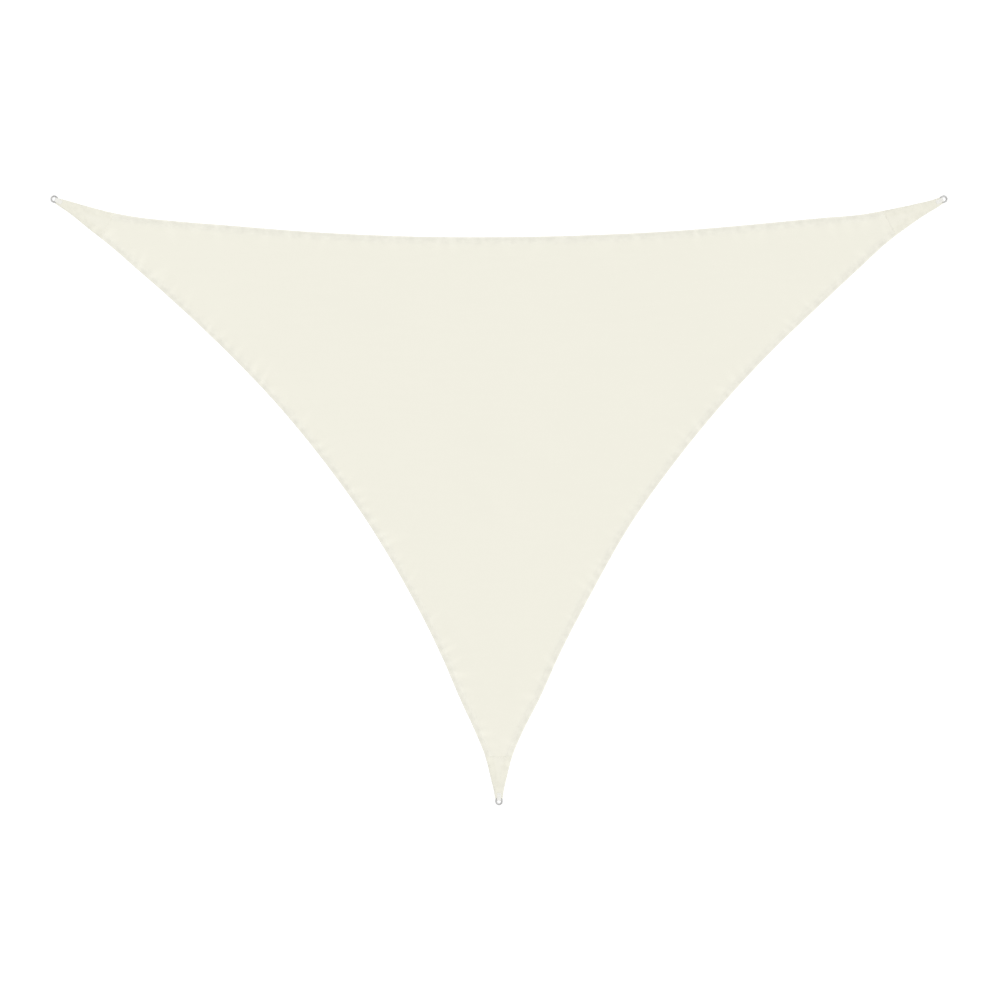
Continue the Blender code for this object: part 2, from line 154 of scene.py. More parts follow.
def smooth_run(points, spacing):
    """Points about every spacing along a smooth curve through the given ones, without the last."""
    ways = [0.0]
    for a, b in zip(points, points[1:]):
        ways.append(ways[-1] + (b - a).length)
    slopes = []
    last = len(points) - 1
    for i in range(len(points)):
        before, after = max(i - 1, 0), min(i + 1, last)
        slopes.append((points[after] - points[before]) / (ways[after] - ways[before]))
    steps = max(1, round(ways[-1] / spacing))
    run, i = [], 0
    for k in range(steps):
        way = ways[-1] * k / steps
        while way > ways[i + 1]:
            i += 1
        span = ways[i + 1] - ways[i]
        t = (way - ways[i]) / span
        ends = points[i].lerp(points[i + 1], t * t * (3 - 2 * t))
        bend = slopes[i] * (t * (1 - t) ** 2) - slopes[i + 1] * (t * t * (1 - t))
        run.append(ends + bend * span)
    return run


def smooth_loop(points, spacing):
    """The same closed line with even points, on smooth curves between its sharp corners."""
    count = len(points)
    corners = []
    for i in range(count):
        arriving = points[i] - points[i - 1]
        leaving = points[(i + 1) % count] - points[i]
        if arriving.angle(leaving) > SHARP_TURN:
            corners.append(i)
    loop = []
    for n, first in enumerate(corners):
        after = corners[(n + 1) % len(corners)]
        length = (after - first) % count
        loop += smooth_run([points[(first + k) % count] for k in range(length + 1)], spacing)
    return loop


RimPoint = namedtuple("RimPoint", "place inward along way")


def rim_points(loop):
    """The points of a clockwise loop, each with its inward direction and its way round the loop."""
    rim, way = [], 0.0
    count = len(loop)
    for i, place in enumerate(loop):
        along = (loop[(i + 1) % count] - loop[i - 1]).normalized()
        rim.append(RimPoint(place, Vector((along.y, -along.x)), along, way))
        way += (loop[(i + 1) % count] - place).length
    return rim


def nearest_finder(rim):
    tree = kdtree.KDTree(len(rim))
    for i, point in enumerate(rim):
        tree.insert(point.place.to_3d(), i)
    tree.balance()
    return tree


class Corner:
    """A corner of the sail, in the middle of its ring's arc, with the line inwards that halves it."""

    def __init__(self, name, point):
        self.name = name
        self.point = point

    def aim(self, others):
        sides = [(other.point - self.point).normalized() for other in others]
        self.inward = (sides[0] + sides[1]).normalized()
        self.left = Vector((-self.inward.y, self.inward.x))

    def reach(self, point):
        return (point - self.point).dot(self.inward)


def find_corners():
    corners = []
    for name, side_x, side_y in (("left", -1, 1), ("right", 1, 1), ("foot", 0, -1)):
        low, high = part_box("ring_" + name)
        middle = (low + high) / 2
        outer_x = middle.x + side_x * ((high.x - low.x) / 2 - RING_REACH)
        outer_y = middle.y + side_y * ((high.y - low.y) / 2 - RING_REACH)
        corners.append(Corner(name, Vector((outer_x, outer_y))))
    for corner in corners:
        corner.aim([other for other in corners if other is not corner])
    return corners


def ease(share):
    """0 at and below 0, 1 at and above 1, and smooth between."""
    share = min(max(share, 0.0), 1.0)
    return share * share * (3 - 2 * share)


CORNERS = find_corners()
RIM = rim_points(smooth_loop(cut_line("sail_cloth"), RIM_SPACING))
RIM_FINDER = nearest_finder(RIM)
RIM_LENGTH = RIM[-1].way + (RIM[0].place - RIM[-1].place).length


def rim_place(point):
    """How deep inside the rim a point is, and its way round."""
    _, i, depth = RIM_FINDER.find(point.to_3d())
    nearest = RIM[i]
    return depth, nearest.way + (point - nearest.place).dot(nearest.along)


def corner_reach(point):
    return min(corner.reach(point) for corner in CORNERS)


def settled_underside():
    """The lower face of the CAD cloth, to be felt for heights."""
    bm = welded_copy("sail_cloth")
    bmesh.ops.delete(bm, geom=[f for f in bm.faces if f.normal.z > -LEVEL], context="FACES")
    tree = BVHTree.FromBMesh(bm)
    bm.free()
    return tree


UNDERSIDE = settled_underside()
FEELERS = [Vector((0.0, 0.0, 0.0))]
for step in range(SETTLING_STEPS):
    turn = 2 * math.pi * step / SETTLING_STEPS
    FEELERS.append(Vector((math.cos(turn), math.sin(turn), 0.0)) * SETTLING_RADIUS)


def settled_height(point):
    spot = point.to_3d()
    return sum(UNDERSIDE.find_nearest(spot + feeler)[0].z for feeler in FEELERS) / len(FEELERS)


Pucker = namedtuple("Pucker", "way slant half_width length height")


def make_puckers():
    """Puckers all round the rim, listed under each stretch of it that they reach."""
    chance = random.Random(PUCKER_DRAW)
    listed = {}
    way = 0.0
    while way < RIM_LENGTH:
        here = RIM[min(int(way / RIM_LENGTH * len(RIM)), len(RIM) - 1)]
        edge = "top" if here.inward.y < TOP_EDGE_AIM else "side"
        pucker = Pucker(
            way=way,
            slant=chance.uniform(-PUCKER_SLANT, PUCKER_SLANT),
            half_width=chance.uniform(*PUCKER_WIDTH) / 2 * PUCKER_BREADTH[edge],
            length=chance.uniform(*PUCKER_LENGTH),
            height=chance.uniform(*PUCKER_HEIGHT[edge]),
        )
        cell = int(way / PUCKER_CELL)
        for near in range(cell - 2, cell + 3):
            listed.setdefault(near, []).append(pucker)
        way += chance.uniform(*PUCKER_PITCH[edge])
    return listed


PUCKERS = make_puckers()


def pucker_lift(depth, way):
    """How far the puckers lift the cloth, and how near their crests a point is, from -1 to 1, for painted
    light on the crests and painted shade in the hollows.
    """
    lift, crest = 0.0, 0.0
    for pucker in PUCKERS.get(int(way / PUCKER_CELL), ()):
        share = depth / pucker.length
        across = (way - pucker.way - pucker.slant * depth) / pucker.half_width
        if share < 1 and abs(across) < 2:
            fade = (1 - share) ** PUCKER_FADE * pucker.height
            if abs(across) < 1:
                risen = PUCKER_AT_RIM + (1 - PUCKER_AT_RIM) * ease(depth / SEAM_DEPTH)
                lift += fade * risen * (1 - across * across) ** 2
            # Painted light on each pucker's crest, and painted shade in the hollows on both sides of it.
            crest += fade * (1 - ease(abs(across) / 2)) / TALLEST_PUCKER
            hollow = PUCKER_HOLLOW_SHADE * math.sin(math.pi / 2 * abs(across)) ** 2
            crest -= fade * hollow / TALLEST_PUCKER
    return lift, min(max(crest, -1.0), 1.0)


Spot = namedtuple("Spot", "lower upper cover doubled folded_edge crest")


def cloth_at(point):
    """Heights of the cloth's two faces and of what lies over it, with its three marks, at a point."""
    depth, way = rim_place(point)
    reach = corner_reach(point)
    loose = ease((reach - FLAT_TIP_REACH) / (LOOSE_REACH - FLAT_TIP_REACH))
    past_hem = min(depth - HEM_WIDTH, reach - HEMS_MEET_REACH)
    swell = max(noise.noise(Vector((point.x, point.y, SWELL_DRAW)) / SWELL_SIZE), 0.0) * SWELL_HEIGHT
    pucker, crest = pucker_lift(depth, way)
    lower = settled_height(point) + loose * (pucker + swell * ease(depth / HEM_WIDTH))

    second_layer = HEM_THICKNESS - CLOTH_THICKNESS
    single = lower + CLOTH_THICKNESS
    single += loose * HEM_FULLNESS * math.sin(math.pi * min(depth / HEM_WIDTH, 1.0))
    upper = single + second_layer * (1 - ease(past_hem / HEM_STEP))
    cover = single + second_layer * (1 - ease(past_hem / COVER_STEP))
    edge = max(1 - depth / ROLLED_EDGE, 0.0)
    upper -= (upper - lower) * (1 - EDGE_SHARE) * (1 - math.sqrt(1 - edge * edge))
    start, end = HEM_TONE_REACH
    # The band of painted shade just inside the rolled edge.
    rise = (depth - EDGE_SHADE_START) / (EDGE_SHADE_PEAK - EDGE_SHADE_START)
    fall = (EDGE_SHADE_END - depth) / (EDGE_SHADE_END - EDGE_SHADE_PEAK)
    return Spot(
        lower=lower + EDGE_LIFT * edge * edge,
        upper=upper,
        cover=cover,
        doubled=1 - ease((min(depth, reach - HEMS_MEET_REACH + start) - start) / (end - start)),
        folded_edge=max(min(rise, fall), 0.0),
        crest=crest * loose,
    )


class Spread:
    """Points that keep a distance from each other: a later one too close to an earlier is left out."""

    def __init__(self, closest):
        self.closest = closest
        self.cells = {}

    def cell(self, point):
        return math.floor(point.x / self.closest), math.floor(point.y / self.closest)

    def fits(self, point):
        column, row = self.cell(point)
        for i in range(column - 1, column + 2):
            for j in range(row - 1, row + 2):
                for other in self.cells.get((i, j), ()):
                    if (other - point).length < self.closest:
                        return False
        return True

    def add(self, point):
        self.cells.setdefault(self.cell(point), []).append(point)


def lattice_points(spacing, clear, wanted):
    """Points of an even lattice, clear of the rim, where wanted(point)."""
    points = []
    row_height = spacing * math.sqrt(3) / 2
    low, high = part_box("sail_cloth")
    for row in range(int((high.y - low.y) / row_height)):
        for column in range(int((high.x - low.x) / spacing)):
            point = Vector((low.x + (column + row % 2 / 2) * spacing, low.y + row * row_height))
            if wanted(point):
                nearest = RIM[RIM_FINDER.find(point.to_3d())[1]]
                if (point - nearest.place).dot(nearest.inward) > clear:
                    points.append(point)
    return points


def row_points(rim, finder, depth):
    """Points of a rim moved inwards by the depth, without those that come too near its other sides."""
    moved = [point.place + point.inward * depth for point in rim]
    return [point for point in moved if finder.find(point.to_3d())[2] > ROW_ROOM * depth]


def cloth_plan():
    """The sail from above: its points, its triangles, and the loops that each triangle lies in."""
    points, joined, faces = [], [], []
    spread = Spread(CLOSEST)
    for rim in [RIM] + PATCH_RIMS:
        first = len(points)
        points += [point.place for point in rim]
        numbers = list(range(first, len(points)))
        joined += zip(numbers, numbers[1:] + numbers[:1])
        faces.append(numbers[::-1])
    for point in points:
        spread.add(point)
    more = []
    for rim in PATCH_RIMS:
        finder = nearest_finder(rim)
        for depth in PATCH_ROWS:
            more += row_points(rim, finder, depth)
    for depth in HEM_ROWS:
        more += row_points(RIM, RIM_FINDER, depth)
    more += lattice_points(CLOSE_LATTICE, CLOSE_CLEAR, lambda p: corner_reach(p) <= CLOSE_REACH)
    more += lattice_points(WIDE_LATTICE, WIDE_CLEAR, lambda p: corner_reach(p) > CLOSE_REACH)
    for point in more:
        if spread.fits(point):
            spread.add(point)
            points.append(point)
    inside_only = 1
    found = delaunay_2d_cdt(points, joined, faces, inside_only, JOINED)
    return found[0], found[2], found[5]


def cloth_layer(name, points, triangles, faces_at):
    """A closed layer of cloth. For each point faces_at(n) gives the two heights and the marks."""
    bm = bmesh.new()
    top = bm.verts.layers.float.new("top")
    layers = [bm.verts.layers.float.new(mark) for mark in ("doubled", "folded_edge", "crest")]
    made = {}
    for n in sorted({n for triangle in triangles for n in triangle}):
        lower, upper, *marks = faces_at(n)
        made[n] = bm.verts.new((points[n].x, points[n].y, lower))
        made[n][top] = upper
        for layer, mark in zip(layers, marks):
            made[n][layer] = mark
    for triangle in triangles:
        bm.faces.new([made[n] for n in triangle])
    raised = bmesh.ops.extrude_face_region(bm, geom=bm.faces[:], use_keep_orig=True)["geom"]
    for part in raised:
        if isinstance(part, bmesh.types.BMVert):
            part.co.z = part[top]
    bmesh.ops.recalc_face_normals(bm, faces=bm.faces[:])
    bm.verts.layers.float.remove(top)
    return new_piece(name, bm)


def new_piece(name, bm):
    """The finished mesh as an object of the scene, shaded smooth, fixed to the sail."""
    mesh = bpy.data.meshes.new(name)
    bm.to_mesh(mesh)
    bm.free()
    mesh.shade_smooth()
    piece = bpy.data.objects.new(name, mesh)
    bpy.context.scene.collection.objects.link(piece)
    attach(piece, "root")
    return piece


PATCH_RIMS = [
    rim_points(smooth_loop(cut_line("patch_" + corner.name), PATCH_SPACING)) for corner in CORNERS
]
POINTS, TRIANGLES, OWNERS = cloth_plan()
SPOTS = [cloth_at(point) for point in POINTS]


class Finish:
    """A material, whose nodes are added one after another."""

    def __init__(self, name, roughness, specular=0.25, sheen=0.0, metallic=0.0):
        self.material = bpy.data.materials.new(name)
        self.material.use_nodes = True
        self.tree = self.material.node_tree
        self.shader = self.tree.nodes["Principled BSDF"]
        self.shader.inputs["Roughness"].default_value = roughness
        self.shader.inputs["Specular IOR Level"].default_value = specular
        self.shader.inputs["Sheen Weight"].default_value = sheen
        self.shader.inputs["Sheen Roughness"].default_value = 0.5
        self.shader.inputs["Metallic"].default_value = metallic
        self.place = self.add("TexCoord").outputs["Object"]

    def feed(self, socket, value):
        if isinstance(value, bpy.types.NodeSocket):
            self.tree.links.new(value, socket)
        else:
            socket.default_value = value

    def add(self, kind, inputs=None, **settings):
        node = self.tree.nodes.new("ShaderNode" + kind)
        for name, value in settings.items():
            setattr(node, name, value)
        for name, value in (inputs or {}).items():
            self.feed(node.inputs[name], value)
        return node

    def sum_up(self, operation, *values):
        return self.add("Math", dict(enumerate(values)), operation=operation).outputs[0]

    def tent(self, value):
        """0 where the value is a whole number, 1 halfway between."""
        return self.sum_up("MULTIPLY", self.sum_up("PINGPONG", value, 0.5), 2.0)

    def turned(self, angle):
        """X and Y of the place, in axes turned by the angle."""
        node = self.add("VectorRotate", {"Vector": self.place, "Angle": -angle}, rotation_type="Z_AXIS")
        apart = self.add("SeparateXYZ", {"Vector": node.outputs["Vector"]})
        return apart.outputs["X"], apart.outputs["Y"]

    def cloudy(self, scale, detail=2.0, stretch=(1.0, 1.0, 1.0)):
        """Soft irregular patches, from about -1 to 1."""
        spot = self.add("VectorMath", {0: self.place, 1: stretch}, operation="MULTIPLY").outputs["Vector"]
        inputs = {"Vector": spot, "Scale": scale, "Detail": detail, "Roughness": 0.5}
        value = self.add("TexNoise", inputs).outputs["Fac"]
        return self.sum_up("MULTIPLY_ADD", value, 2.0, -1.0)

    def mark(self, name):
        """A value that is stored on the mesh's points."""
        return self.add("Attribute", attribute_name=name).outputs["Fac"]

    def brightened(self, brightness, colour):
        inputs = {"Color": colour, "Value": brightness}
        return self.add("HueSaturation", inputs).outputs["Color"]

    def mixed(self, share, colour, other):
        node = self.add("Mix", data_type="RGBA")
        for socket, value in ((0, share), (6, colour), (7, other)):
            self.feed(node.inputs[socket], value)
        return node.outputs[2]

    def relief(self, height, distance, strength):
        inputs = {"Height": height, "Distance": distance, "Strength": strength}
        return self.add("Bump", inputs).outputs["Normal"]

    def wear_on(self, *pieces):
        for piece in pieces:
            piece.data.materials.append(self.material)


# The knit's form, and how much the cloth's tone varies with it and with all else: slow clouding, streaks
# along the width, painted shade in a band inside the folded edge, painted light on the puckers' crests and
# painted shade in the hollows beside them, and painted light and shade of small creases where the cloth is
# doubled.
LOOP_SLANT = 0.35
WALE_ROUNDING = 0.6
LOOP_DEPTH = 0.55
KNIT_RELIEF, KNIT_STRENGTH = 0.35 * MM, 0.35
GAP_TONE, LOOP_TONE = 0.966, 0.07
CLOUD_SCALE, CLOUD_TONE = 1.1, 0.006
STREAK_SCALE, STREAK_STRETCH, STREAK_TONE = 3.0, (1.0, 9.0, 1.0), 0.006
PAINTED_EDGE_SHADE, PAINTED_PUCKER_SHADE = -0.052, 0.07
CREASE_SCALE, PAINTED_CREASE_SHADE, CREASES_AT_EDGE = 26.0, 0.083, 0.15


def knit(finish, angle):
    """Height of a warp knit: upright wales of slanting loops, with a small gap beside each loop."""
    across, up = finish.turned(angle)
    wale = finish.tent(finish.sum_up("DIVIDE", across, WALE_PITCH))
    slanted = finish.sum_up("MULTIPLY_ADD", wale, LOOP_SLANT, finish.sum_up("DIVIDE", up, COURSE_PITCH))
    loop = finish.tent(slanted)
    rounded = finish.sum_up("POWER", wale, WALE_ROUNDING)
    raised = finish.sum_up("MULTIPLY_ADD", loop, LOOP_DEPTH, 1 - LOOP_DEPTH)
    return finish.sum_up("MULTIPLY", rounded, raised)


def knitted_cloth(name, colour, doubled_colour, angle):
    finish = Finish(name, roughness=0.88, specular=0.18, sheen=0.06)
    loops = knit(finish, angle)
    doubled = finish.mark("doubled")
    tone = finish.sum_up("MULTIPLY_ADD", loops, LOOP_TONE, GAP_TONE)
    tone = finish.sum_up("MULTIPLY_ADD", finish.cloudy(CLOUD_SCALE), CLOUD_TONE, tone)
    streaks = finish.cloudy(STREAK_SCALE, stretch=STREAK_STRETCH)
    tone = finish.sum_up("MULTIPLY_ADD", streaks, STREAK_TONE, tone)
    # Painted light: the cloth is paler to the left, as if the light fell off to the right.
    rightwards = finish.add("SeparateXYZ", {"Vector": finish.place}).outputs["X"]
    tone = finish.sum_up("MULTIPLY_ADD", rightwards, -PAINTED_LIGHT_LEFTWARDS, tone)
    # Painted shade in a band just inside the rolled edge.
    folded_edge = finish.mark("folded_edge")
    tone = finish.sum_up("MULTIPLY_ADD", folded_edge, PAINTED_EDGE_SHADE, tone)
    # Painted light on the puckers' crests and painted shade in the hollows beside them.
    tone = finish.sum_up("MULTIPLY_ADD", finish.mark("crest"), PAINTED_PUCKER_SHADE, tone)
    # Painted light and shade of small creases, where the cloth is doubled and a little along the edge.
    creased = finish.sum_up("MULTIPLY_ADD", folded_edge, CREASES_AT_EDGE, doubled)
    crease_shading = finish.sum_up("MULTIPLY", finish.cloudy(CREASE_SCALE, detail=3.0), creased)
    tone = finish.sum_up("MULTIPLY_ADD", crease_shading, PAINTED_CREASE_SHADE, tone)
    colour = finish.mixed(doubled, (*colour, 1.0), (*doubled_colour, 1.0))
    finish.feed(finish.shader.inputs["Base Color"], finish.brightened(tone, colour))
    finish.feed(finish.shader.inputs["Normal"], finish.relief(loops, KNIT_RELIEF, KNIT_STRENGTH))
    return finish


def sail_at(n):
    spot = SPOTS[n]
    return spot.lower, spot.upper, spot.doubled, spot.folded_edge, spot.crest


sail = cloth_layer("sail_cloth_face", POINTS, TRIANGLES, sail_at)
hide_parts("sail_cloth")
knitted_cloth("knitted_cream_cloth", CREAM, HEM_CREAM, angle=0.0).wear_on(sail)


# --- The hem's stitching ------------------------------------------------------------------------------
# Two rows of lockstitch in thick polyester thread hold the hem down, near its inner edge. A stitch goes
# down into the cloth at both ends and stands a little proud of it in between. Only the face shows them.

THREAD_WIDTH = 1.1 * MM
THREAD_RISE = 0.25 * MM
THREAD_DIP = 0.25 * MM
HEM_ROW_DEPTHS = (24.5 * MM, 31 * MM)
HEM_STITCH = 6.0 * MM
STITCH_GAP_SHARE = 0.14
STITCH_SHOULDERS = (0.22, 0.78)
THREAD_COLOUR = (0.82, 0.805, 0.725)
THREAD_MOTTLE_SCALE, THREAD_MOTTLE = 900.0, 0.05
DROP_HEIGHT = 1.0


def feel_from_above(piece):
    return BVHTree.FromPolygons(
        [v.co for v in piece.data.vertices], [p.vertices for p in piece.data.polygons]
    )


def dropped(surface, point):
    """The point let down from above onto the surface, or None beside it."""
    return surface.ray_cast(Vector((point.x, point.y, DROP_HEIGHT)), Vector((0.0, 0.0, -1.0)))[0]


def stitch(bm, surface, start, end):
    """One stitch between two points: pointed ends down in the cloth, and a raised middle."""
    holes = [dropped(surface, start), dropped(surface, end)]
    if None in holes:
        return
    run = holes[1] - holes[0]
    side = Vector((-run.y, run.x, 0.0)).normalized() * (THREAD_WIDTH / 2)
    up = Vector((0.0, 0.0, THREAD_RISE))
    dip = Vector((0.0, 0.0, -THREAD_DIP))
    first, last = bm.verts.new(holes[0] + dip), bm.verts.new(holes[1] + dip)
    rings = []
    for share in STITCH_SHOULDERS:
        middle = holes[0] + run * share
        rings.append([bm.verts.new(middle + offset) for offset in (side, up, -side, dip)])
    for k in range(4):
        after = (k + 1) % 4
        bm.faces.new((first, rings[0][after], rings[0][k]))
        bm.faces.new((rings[0][k], rings[0][after], rings[1][after], rings[1][k]))
        bm.faces.new((rings[1][k], rings[1][after], last))


def stitch_line(bm, surface, points, length, closed=False):
    """Even stitches along a line of points."""
    line = points + points[:1] if closed else points
    ways = [0.0]
    for a, b in zip(line, line[1:]):
        ways.append(ways[-1] + (b - a).length)
    count = max(1, round(ways[-1] / length))
    stretch = ways[-1] / count
    i = 0

    def at(way):
        nonlocal i
        while i < len(ways) - 2 and way > ways[i + 1]:
            i += 1
        return line[i].lerp(line[i + 1], (way - ways[i]) / (ways[i + 1] - ways[i]))

    for k in range(count):
        start = at((k + STITCH_GAP_SHARE / 2) * stretch)
        stitch(bm, surface, start, at((k + 1 - STITCH_GAP_SHARE / 2) * stretch))


def sewing_thread():
    finish = Finish("cream_thread", roughness=0.6, specular=0.3, sheen=0.1)
    tone = finish.sum_up("MULTIPLY_ADD", finish.cloudy(THREAD_MOTTLE_SCALE), THREAD_MOTTLE, 1.0)
    finish.feed(finish.shader.inputs["Base Color"], finish.brightened(tone, (*THREAD_COLOUR, 1.0)))
    return finish


def sewn_rows(name, bm):
    bmesh.ops.recalc_face_normals(bm, faces=bm.faces[:])
    piece = new_piece(name, bm)
    THREAD.wear_on(piece)
    return piece


THREAD = sewing_thread()
CLOTH_TOP = feel_from_above(sail)
bm = bmesh.new()
for depth in HEM_ROW_DEPTHS:
    stitch_line(bm, CLOTH_TOP, row_points(RIM, RIM_FINDER, depth), HEM_STITCH, closed=True)
hem_stitches = sewn_rows("hem_stitches", bm)


# --- The corner patches -------------------------------------------------------------------------------
# A second layer of the same cloth lies on each corner, 5 mm in from the folded edge, and ends in a
# straight cut across the corner. It is sewn down all round, 6 mm inside its own edge.

PATCH_THICKNESS = 1.5 * MM
PATCH_GAP = 0.3 * MM
PATCH_EDGE_SHARE = 0.3
PATCH_EDGE_REACH = 7.0 * MM
CUT_EDGE_TURN = math.radians(50)
PATCH_ROW_INSET = 6.0 * MM
PATCH_STITCH = 4.5 * MM
PATCH_CREAM = (0.783, 0.768, 0.676)
PATCH_ON_HEM = (0.762, 0.747, 0.652)

patches = []
for number, corner in enumerate(CORNERS, start=1):
    own = [triangle for triangle, owners in zip(TRIANGLES, OWNERS) if number in owners]
    rim = PATCH_RIMS[number - 1]
    finder = nearest_finder(rim)

    def patch_at(n):
        full = ease(finder.find(POINTS[n].to_3d())[2] / PATCH_EDGE_REACH)
        lower = SPOTS[n].cover + PATCH_GAP * (PATCH_EDGE_SHARE + (1 - PATCH_EDGE_SHARE) * full)
        upper = lower + PATCH_THICKNESS * (PATCH_EDGE_SHARE + (1 - PATCH_EDGE_SHARE) * full)
        # The patch carries the painted light and shade of the puckers under it.
        return lower, upper, SPOTS[n].doubled, 0.0, SPOTS[n].crest

    patch = cloth_layer("patch_cloth_" + corner.name, POINTS, own, patch_at)
    patch.data.set_sharp_from_angle(angle=CUT_EDGE_TURN)
    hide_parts("patch_" + corner.name)
    angle = math.atan2(corner.inward.y, corner.inward.x)
    knitted_cloth("patch_cloth_" + corner.name, PATCH_CREAM, PATCH_ON_HEM, angle).wear_on(patch)
    bm = bmesh.new()
    patch_top = feel_from_above(patch)
    stitch_line(bm, patch_top, row_points(rim, finder, PATCH_ROW_INSET), PATCH_STITCH, closed=True)
    threads = sewn_rows("patch_stitches_" + corner.name, bm)
    reaches = [corner.reach(point.place) for point in rim]
    patches.append(patch)


# --- The D-rings --------------------------------------------------------------------------------------
# Each ring is 10 mm stainless steel wire, bent to a D and welded in the middle of its straight bar, then
# polished. The strap holds the bar a little up, and the ring leans down to the ground.

WIRE_RADIUS = 5 * MM
ARC_RADIUS = 19.5 * MM
BAR_REACH = 14 * MM
BEND_RADIUS = 5.5 * MM
WELD_RISE = 0.2 * MM
WELD_HALF_WIDTH = 2.4 * MM
BAR_SLACK = 0.1 * MM
ARC_STEPS, BEND_STEPS, BAR_STEPS, SIDE_STEPS = 56, 12, 24, 4
WIRE_SIDES = 24
BAR_HEIGHT = 7.1 * MM
LEAN = math.asin((BAR_HEIGHT - WIRE_RADIUS) / (BAR_REACH + ARC_RADIUS))
STEEL = (0.48, 0.478, 0.471)
STEEL_MOTTLE_SCALE, STEEL_MOTTLE = 60.0, 0.05
STEEL_ROUGHNESS, SCRATCHED_ROUGHNESS = 0.46, 0.05
SCRATCH_SCALE, SCRATCH_STRETCH = 700.0, (1.0, 1.0, 6.0)
SCRATCH_DEPTH, SCRATCH_STRENGTH = 0.02 * MM, 0.4


def ring_line():
    """The middle line of the wire: the arc, one arm and its bend, the bar, and back by the other arm."""
    arc = []
    for k in range(ARC_STEPS + 1):
        turn = math.pi / 2 + math.pi * k / ARC_STEPS
        arc.append(Vector((ARC_RADIUS * math.cos(turn), ARC_RADIUS * math.sin(turn), 0.0)))
    bend_x, bend_y = BAR_REACH - BEND_RADIUS, ARC_RADIUS - BEND_RADIUS
    arm = [Vector((bend_x * k / SIDE_STEPS, -ARC_RADIUS, 0.0)) for k in range(1, SIDE_STEPS)]
    for k in range(BEND_STEPS + 1):
        turn = math.pi / 2 * (k / BEND_STEPS - 1)
        x = bend_x + BEND_RADIUS * math.cos(turn)
        arm.append(Vector((x, BEND_RADIUS * math.sin(turn) - bend_y, 0.0)))
    bar = []
    for k in range(1, BAR_STEPS):
        bar.append(Vector((BAR_REACH, bend_y * (2 * k / BAR_STEPS - 1), 0.0)))
    other_arm = [Vector((point.x, -point.y, 0.0)) for point in reversed(arm)]
    return arc + arm + bar + other_arm


def swept(bm, stations, closed):
    """Joins rings of points, each an outline at one station of a path, into a skin."""
    rings = [[bm.verts.new(point) for point in station] for station in stations]
    count = len(rings[0])
    pairs = list(zip(rings, rings[1:]))
    if closed:
        pairs.append((rings[-1], rings[0]))
    for here, after in pairs:
        for k in range(count):
            bm.faces.new((here[k], here[(k + 1) % count], after[(k + 1) % count], after[k]))
    if not closed:
        bm.faces.new(rings[0][::-1])
        bm.faces.new(rings[-1])
    bmesh.ops.recalc_face_normals(bm, faces=bm.faces[:])


def ring_mesh(bm):
    """Fills the mesh with the ring's wire, lying level, thickened a little at the weld."""
    line = ring_line()
    up = Vector((0.0, 0.0, 1.0))
    stations = []
    for i, middle in enumerate(line):
        along = (line[(i + 1) % len(line)] - line[i - 1]).normalized()
        out = along.cross(up)
        on_bar = middle.x > BAR_REACH - BAR_SLACK
        weld = WELD_RISE * math.exp(-((middle.y / WELD_HALF_WIDTH) ** 2)) if on_bar else 0.0
        radius = WIRE_RADIUS + weld
        station = []
        for k in range(WIRE_SIDES):
            turn = 2 * math.pi * k / WIRE_SIDES
            station.append(middle + (out * math.cos(turn) + up * math.sin(turn)) * radius)
        stations.append(station)
    swept(bm, stations, closed=True)


def corner_place(corner):
    """From the origin, with the inward line along X, to the corner."""
    turn = Matrix.Rotation(math.atan2(corner.inward.y, corner.inward.x), 4, "Z")
    return Matrix.Translation(corner.point.to_3d()) @ turn


def polished_steel():
    finish = Finish("polished_steel", STEEL_ROUGHNESS, specular=0.5, metallic=1.0)
    scratches = finish.cloudy(SCRATCH_SCALE, detail=3.0, stretch=SCRATCH_STRETCH)
    rough = finish.sum_up("MULTIPLY_ADD", scratches, SCRATCHED_ROUGHNESS, STEEL_ROUGHNESS)
    tone = finish.sum_up("MULTIPLY_ADD", finish.cloudy(STEEL_MOTTLE_SCALE), STEEL_MOTTLE, 1.0)
    finish.feed(finish.shader.inputs["Base Color"], finish.brightened(tone, (*STEEL, 1.0)))
    finish.feed(finish.shader.inputs["Roughness"], rough)
    finish.feed(finish.shader.inputs["Normal"], finish.relief(scratches, SCRATCH_DEPTH, SCRATCH_STRENGTH))
    return finish


STEEL_FINISH = polished_steel()
rings = []
for corner in CORNERS:
    bm = bmesh.new()
    ring_mesh(bm)
    bmesh.ops.rotate(bm, verts=bm.verts[:], matrix=Matrix.Rotation(-LEAN, 3, "Y"))
    lift = WIRE_RADIUS + ARC_RADIUS * math.sin(LEAN)
    bmesh.ops.translate(bm, verts=bm.verts[:], vec=(0.0, 0.0, lift))
    bmesh.ops.transform(bm, verts=bm.verts[:], matrix=corner_place(corner))
    ring = new_piece("steel_ring_" + corner.name, bm)
    STEEL_FINISH.wear_on(ring)
    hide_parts("ring_" + corner.name)
    rings.append(ring)


# --- The webbing straps -------------------------------------------------------------------------------
# A strap of woven off-white polyester webbing, 28 mm wide, is folded round the bar of each ring. One leg
# lies on the patch and the other under the cloth, and a box with a cross is sewn through both, with one
# more row near the fold.

